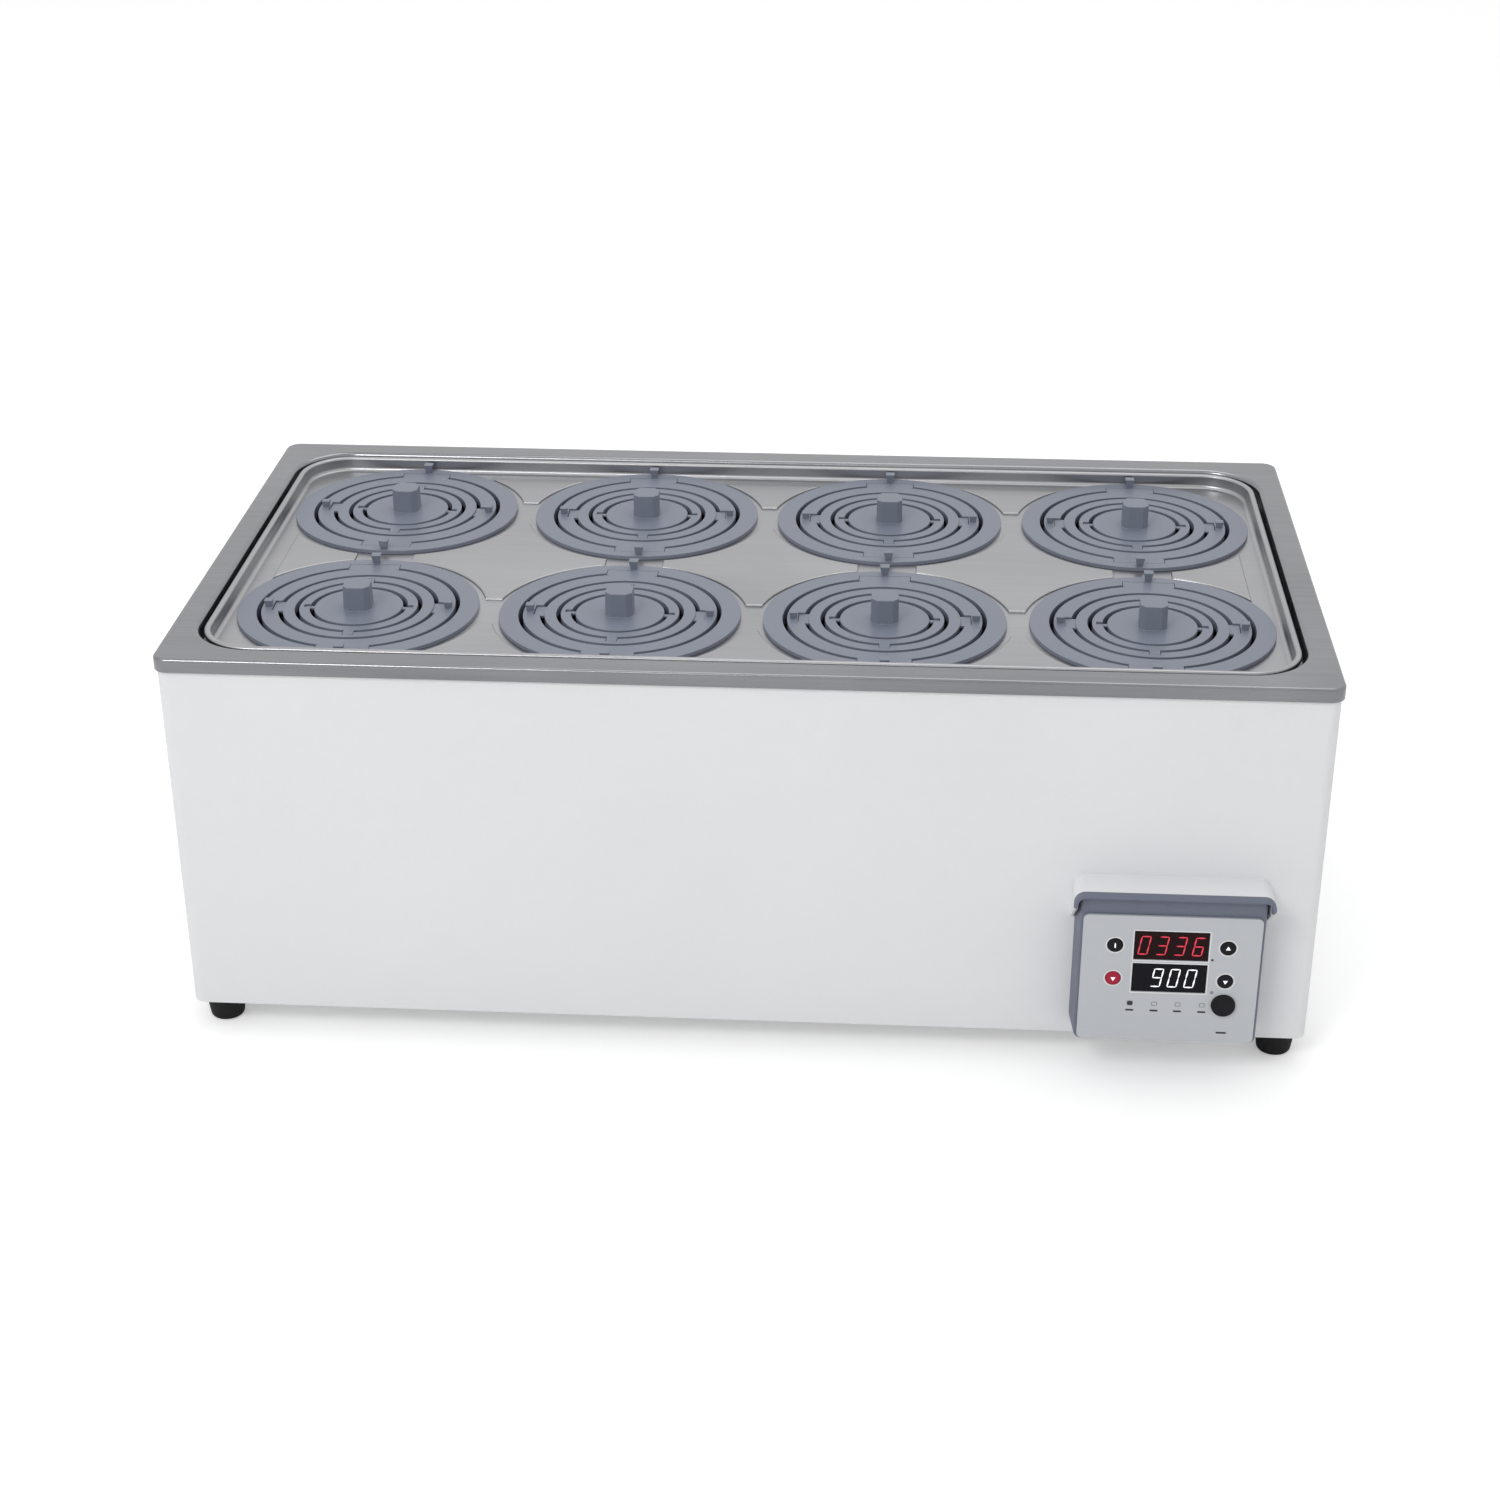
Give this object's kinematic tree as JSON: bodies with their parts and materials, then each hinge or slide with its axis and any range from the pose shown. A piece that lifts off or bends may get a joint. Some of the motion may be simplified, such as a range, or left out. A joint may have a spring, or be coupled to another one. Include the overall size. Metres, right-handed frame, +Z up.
{
  "type": "thermostatic bath",
  "caption": "White bench-top water bath with a stainless rim, lidded holes closed by nested ring covers, and a hooded grey control box with buttons on the front.",
  "frame": {"origin": "on the bench under the middle of the whole bath, its control hood included", "axes": "+X along the front to the user's right, +Y from the control box to the back, +Z up"},
  "size_m": [0.606, 0.3426, 0.2292],
  "materials": {
    "white_enamel": "smooth powder coat",
    "stainless": "fine brushed",
    "cover_plastic": "satin moulded",
    "housing_plastic": "fine texture",
    "fascia_plastic": "matt film",
    "display_window": "gloss",
    "black_button": "satin",
    "red_button": "satin",
    "foot_rubber": "matt",
    "mineral_wool": "fibrous",
    "heater_steel": "satin",
    "board_laminate": "coated",
    "black_plastic": "satin"
  },
  "bodies": {
    "bath": {"tank": "stainless", "case_shell": "white_enamel", "base_plate": "white_enamel", "feet": "foot_rubber", "insulation": "mineral_wool", "heater": "heater_steel", "shelf_plate": "stainless", "temperature_probe": "heater_steel", "control_housing": "housing_plastic", "control_fascia": "fascia_plastic", "displays": "display_window", "control_board": "board_laminate", "mains_inlet": "black_plastic"},
    "lid": {"lid_plate": "stainless"},
    "cover_1_ring_4": {"cover_1_ring_4": "cover_plastic"},
    "cover_1_ring_3": {"cover_1_ring_3": "cover_plastic"},
    "cover_1_ring_2": {"cover_1_ring_2": "cover_plastic"},
    "cover_1_ring_1": {"cover_1_ring_1": "cover_plastic"},
    "cover_1_cap": {"cover_1_cap": "cover_plastic"},
    "cover_2_ring_4": {"cover_2_ring_4": "cover_plastic"},
    "cover_2_ring_3": {"cover_2_ring_3": "cover_plastic"},
    "cover_2_ring_2": {"cover_2_ring_2": "cover_plastic"},
    "cover_2_ring_1": {"cover_2_ring_1": "cover_plastic"},
    "cover_2_cap": {"cover_2_cap": "cover_plastic"},
    "cover_3_ring_4": {"cover_3_ring_4": "cover_plastic"},
    "cover_3_ring_3": {"cover_3_ring_3": "cover_plastic"},
    "cover_3_ring_2": {"cover_3_ring_2": "cover_plastic"},
    "cover_3_ring_1": {"cover_3_ring_1": "cover_plastic"},
    "cover_3_cap": {"cover_3_cap": "cover_plastic"},
    "cover_4_ring_4": {"cover_4_ring_4": "cover_plastic"},
    "cover_4_ring_3": {"cover_4_ring_3": "cover_plastic"},
    "cover_4_ring_2": {"cover_4_ring_2": "cover_plastic"},
    "cover_4_ring_1": {"cover_4_ring_1": "cover_plastic"},
    "cover_4_cap": {"cover_4_cap": "cover_plastic"},
    "cover_5_ring_4": {"cover_5_ring_4": "cover_plastic"},
    "cover_5_ring_3": {"cover_5_ring_3": "cover_plastic"},
    "cover_5_ring_2": {"cover_5_ring_2": "cover_plastic"},
    "cover_5_ring_1": {"cover_5_ring_1": "cover_plastic"},
    "cover_5_cap": {"cover_5_cap": "cover_plastic"},
    "cover_6_ring_4": {"cover_6_ring_4": "cover_plastic"},
    "cover_6_ring_3": {"cover_6_ring_3": "cover_plastic"},
    "cover_6_ring_2": {"cover_6_ring_2": "cover_plastic"},
    "cover_6_ring_1": {"cover_6_ring_1": "cover_plastic"},
    "cover_6_cap": {"cover_6_cap": "cover_plastic"},
    "cover_7_ring_4": {"cover_7_ring_4": "cover_plastic"},
    "cover_7_ring_3": {"cover_7_ring_3": "cover_plastic"},
    "cover_7_ring_2": {"cover_7_ring_2": "cover_plastic"},
    "cover_7_ring_1": {"cover_7_ring_1": "cover_plastic"},
    "cover_7_cap": {"cover_7_cap": "cover_plastic"},
    "cover_8_ring_4": {"cover_8_ring_4": "cover_plastic"},
    "cover_8_ring_3": {"cover_8_ring_3": "cover_plastic"},
    "cover_8_ring_2": {"cover_8_ring_2": "cover_plastic"},
    "cover_8_ring_1": {"cover_8_ring_1": "cover_plastic"},
    "cover_8_cap": {"cover_8_cap": "cover_plastic"},
    "start_button": {"start_button": "black_button"},
    "stop_button": {"stop_button": "red_button"},
    "up_button": {"up_button": "black_button"},
    "down_button": {"down_button": "black_button"},
    "power_button": {"power_button": "black_button"}
  },
  "joints": [
    {"name": "lid_lift", "type": "slide", "parent": "bath", "child": "lid", "axis": [0, 0, 1], "range_m": [0, 0.08]},
    {"name": "cover_1_ring_4_lift", "type": "slide", "parent": "lid", "child": "cover_1_ring_4", "axis": [0, 0, 1], "range_m": [0, 0.03]},
    {"name": "cover_1_ring_3_lift", "type": "slide", "parent": "cover_1_ring_4", "child": "cover_1_ring_3", "axis": [0, 0, 1], "range_m": [0, 0.03]},
    {"name": "cover_1_ring_2_lift", "type": "slide", "parent": "cover_1_ring_3", "child": "cover_1_ring_2", "axis": [0, 0, 1], "range_m": [0, 0.03]},
    {"name": "cover_1_ring_1_lift", "type": "slide", "parent": "cover_1_ring_2", "child": "cover_1_ring_1", "axis": [0, 0, 1], "range_m": [0, 0.03]},
    {"name": "cover_1_cap_lift", "type": "slide", "parent": "cover_1_ring_1", "child": "cover_1_cap", "axis": [0, 0, 1], "range_m": [0, 0.03]},
    {"name": "cover_2_ring_4_lift", "type": "slide", "parent": "lid", "child": "cover_2_ring_4", "axis": [0, 0, 1], "range_m": [0, 0.03]},
    {"name": "cover_2_ring_3_lift", "type": "slide", "parent": "cover_2_ring_4", "child": "cover_2_ring_3", "axis": [0, 0, 1], "range_m": [0, 0.03]},
    {"name": "cover_2_ring_2_lift", "type": "slide", "parent": "cover_2_ring_3", "child": "cover_2_ring_2", "axis": [0, 0, 1], "range_m": [0, 0.03]},
    {"name": "cover_2_ring_1_lift", "type": "slide", "parent": "cover_2_ring_2", "child": "cover_2_ring_1", "axis": [0, 0, 1], "range_m": [0, 0.03]},
    {"name": "cover_2_cap_lift", "type": "slide", "parent": "cover_2_ring_1", "child": "cover_2_cap", "axis": [0, 0, 1], "range_m": [0, 0.03]},
    {"name": "cover_3_ring_4_lift", "type": "slide", "parent": "lid", "child": "cover_3_ring_4", "axis": [0, 0, 1], "range_m": [0, 0.03]},
    {"name": "cover_3_ring_3_lift", "type": "slide", "parent": "cover_3_ring_4", "child": "cover_3_ring_3", "axis": [0, 0, 1], "range_m": [0, 0.03]},
    {"name": "cover_3_ring_2_lift", "type": "slide", "parent": "cover_3_ring_3", "child": "cover_3_ring_2", "axis": [0, 0, 1], "range_m": [0, 0.03]},
    {"name": "cover_3_ring_1_lift", "type": "slide", "parent": "cover_3_ring_2", "child": "cover_3_ring_1", "axis": [0, 0, 1], "range_m": [0, 0.03]},
    {"name": "cover_3_cap_lift", "type": "slide", "parent": "cover_3_ring_1", "child": "cover_3_cap", "axis": [0, 0, 1], "range_m": [0, 0.03]},
    {"name": "cover_4_ring_4_lift", "type": "slide", "parent": "lid", "child": "cover_4_ring_4", "axis": [0, 0, 1], "range_m": [0, 0.03]},
    {"name": "cover_4_ring_3_lift", "type": "slide", "parent": "cover_4_ring_4", "child": "cover_4_ring_3", "axis": [0, 0, 1], "range_m": [0, 0.03]},
    {"name": "cover_4_ring_2_lift", "type": "slide", "parent": "cover_4_ring_3", "child": "cover_4_ring_2", "axis": [0, 0, 1], "range_m": [0, 0.03]},
    {"name": "cover_4_ring_1_lift", "type": "slide", "parent": "cover_4_ring_2", "child": "cover_4_ring_1", "axis": [0, 0, 1], "range_m": [0, 0.03]},
    {"name": "cover_4_cap_lift", "type": "slide", "parent": "cover_4_ring_1", "child": "cover_4_cap", "axis": [0, 0, 1], "range_m": [0, 0.03]},
    {"name": "cover_5_ring_4_lift", "type": "slide", "parent": "lid", "child": "cover_5_ring_4", "axis": [0, 0, 1], "range_m": [0, 0.03]},
    {"name": "cover_5_ring_3_lift", "type": "slide", "parent": "cover_5_ring_4", "child": "cover_5_ring_3", "axis": [0, 0, 1], "range_m": [0, 0.03]},
    {"name": "cover_5_ring_2_lift", "type": "slide", "parent": "cover_5_ring_3", "child": "cover_5_ring_2", "axis": [0, 0, 1], "range_m": [0, 0.03]},
    {"name": "cover_5_ring_1_lift", "type": "slide", "parent": "cover_5_ring_2", "child": "cover_5_ring_1", "axis": [0, 0, 1], "range_m": [0, 0.03]},
    {"name": "cover_5_cap_lift", "type": "slide", "parent": "cover_5_ring_1", "child": "cover_5_cap", "axis": [0, 0, 1], "range_m": [0, 0.03]},
    {"name": "cover_6_ring_4_lift", "type": "slide", "parent": "lid", "child": "cover_6_ring_4", "axis": [0, 0, 1], "range_m": [0, 0.03]},
    {"name": "cover_6_ring_3_lift", "type": "slide", "parent": "cover_6_ring_4", "child": "cover_6_ring_3", "axis": [0, 0, 1], "range_m": [0, 0.03]},
    {"name": "cover_6_ring_2_lift", "type": "slide", "parent": "cover_6_ring_3", "child": "cover_6_ring_2", "axis": [0, 0, 1], "range_m": [0, 0.03]},
    {"name": "cover_6_ring_1_lift", "type": "slide", "parent": "cover_6_ring_2", "child": "cover_6_ring_1", "axis": [0, 0, 1], "range_m": [0, 0.03]},
    {"name": "cover_6_cap_lift", "type": "slide", "parent": "cover_6_ring_1", "child": "cover_6_cap", "axis": [0, 0, 1], "range_m": [0, 0.03]},
    {"name": "cover_7_ring_4_lift", "type": "slide", "parent": "lid", "child": "cover_7_ring_4", "axis": [0, 0, 1], "range_m": [0, 0.03]},
    {"name": "cover_7_ring_3_lift", "type": "slide", "parent": "cover_7_ring_4", "child": "cover_7_ring_3", "axis": [0, 0, 1], "range_m": [0, 0.03]},
    {"name": "cover_7_ring_2_lift", "type": "slide", "parent": "cover_7_ring_3", "child": "cover_7_ring_2", "axis": [0, 0, 1], "range_m": [0, 0.03]},
    {"name": "cover_7_ring_1_lift", "type": "slide", "parent": "cover_7_ring_2", "child": "cover_7_ring_1", "axis": [0, 0, 1], "range_m": [0, 0.03]},
    {"name": "cover_7_cap_lift", "type": "slide", "parent": "cover_7_ring_1", "child": "cover_7_cap", "axis": [0, 0, 1], "range_m": [0, 0.03]},
    {"name": "cover_8_ring_4_lift", "type": "slide", "parent": "lid", "child": "cover_8_ring_4", "axis": [0, 0, 1], "range_m": [0, 0.03]},
    {"name": "cover_8_ring_3_lift", "type": "slide", "parent": "cover_8_ring_4", "child": "cover_8_ring_3", "axis": [0, 0, 1], "range_m": [0, 0.03]},
    {"name": "cover_8_ring_2_lift", "type": "slide", "parent": "cover_8_ring_3", "child": "cover_8_ring_2", "axis": [0, 0, 1], "range_m": [0, 0.03]},
    {"name": "cover_8_ring_1_lift", "type": "slide", "parent": "cover_8_ring_2", "child": "cover_8_ring_1", "axis": [0, 0, 1], "range_m": [0, 0.03]},
    {"name": "cover_8_cap_lift", "type": "slide", "parent": "cover_8_ring_1", "child": "cover_8_cap", "axis": [0, 0, 1], "range_m": [0, 0.03]},
    {"name": "start_button_press", "type": "slide", "parent": "bath", "child": "start_button", "axis": [0, 1, 0], "range_m": [0, 0.0006], "stiffness_N_per_m": 500},
    {"name": "stop_button_press", "type": "slide", "parent": "bath", "child": "stop_button", "axis": [0, 1, 0], "range_m": [0, 0.0006], "stiffness_N_per_m": 500},
    {"name": "up_button_press", "type": "slide", "parent": "bath", "child": "up_button", "axis": [0, 1, 0], "range_m": [0, 0.0006], "stiffness_N_per_m": 500},
    {"name": "down_button_press", "type": "slide", "parent": "bath", "child": "down_button", "axis": [0, 1, 0], "range_m": [0, 0.0006], "stiffness_N_per_m": 500},
    {"name": "power_button_press", "type": "slide", "parent": "bath", "child": "power_button", "axis": [0, 1, 0], "range_m": [0, 0.0015], "stiffness_N_per_m": 500}
  ]
}
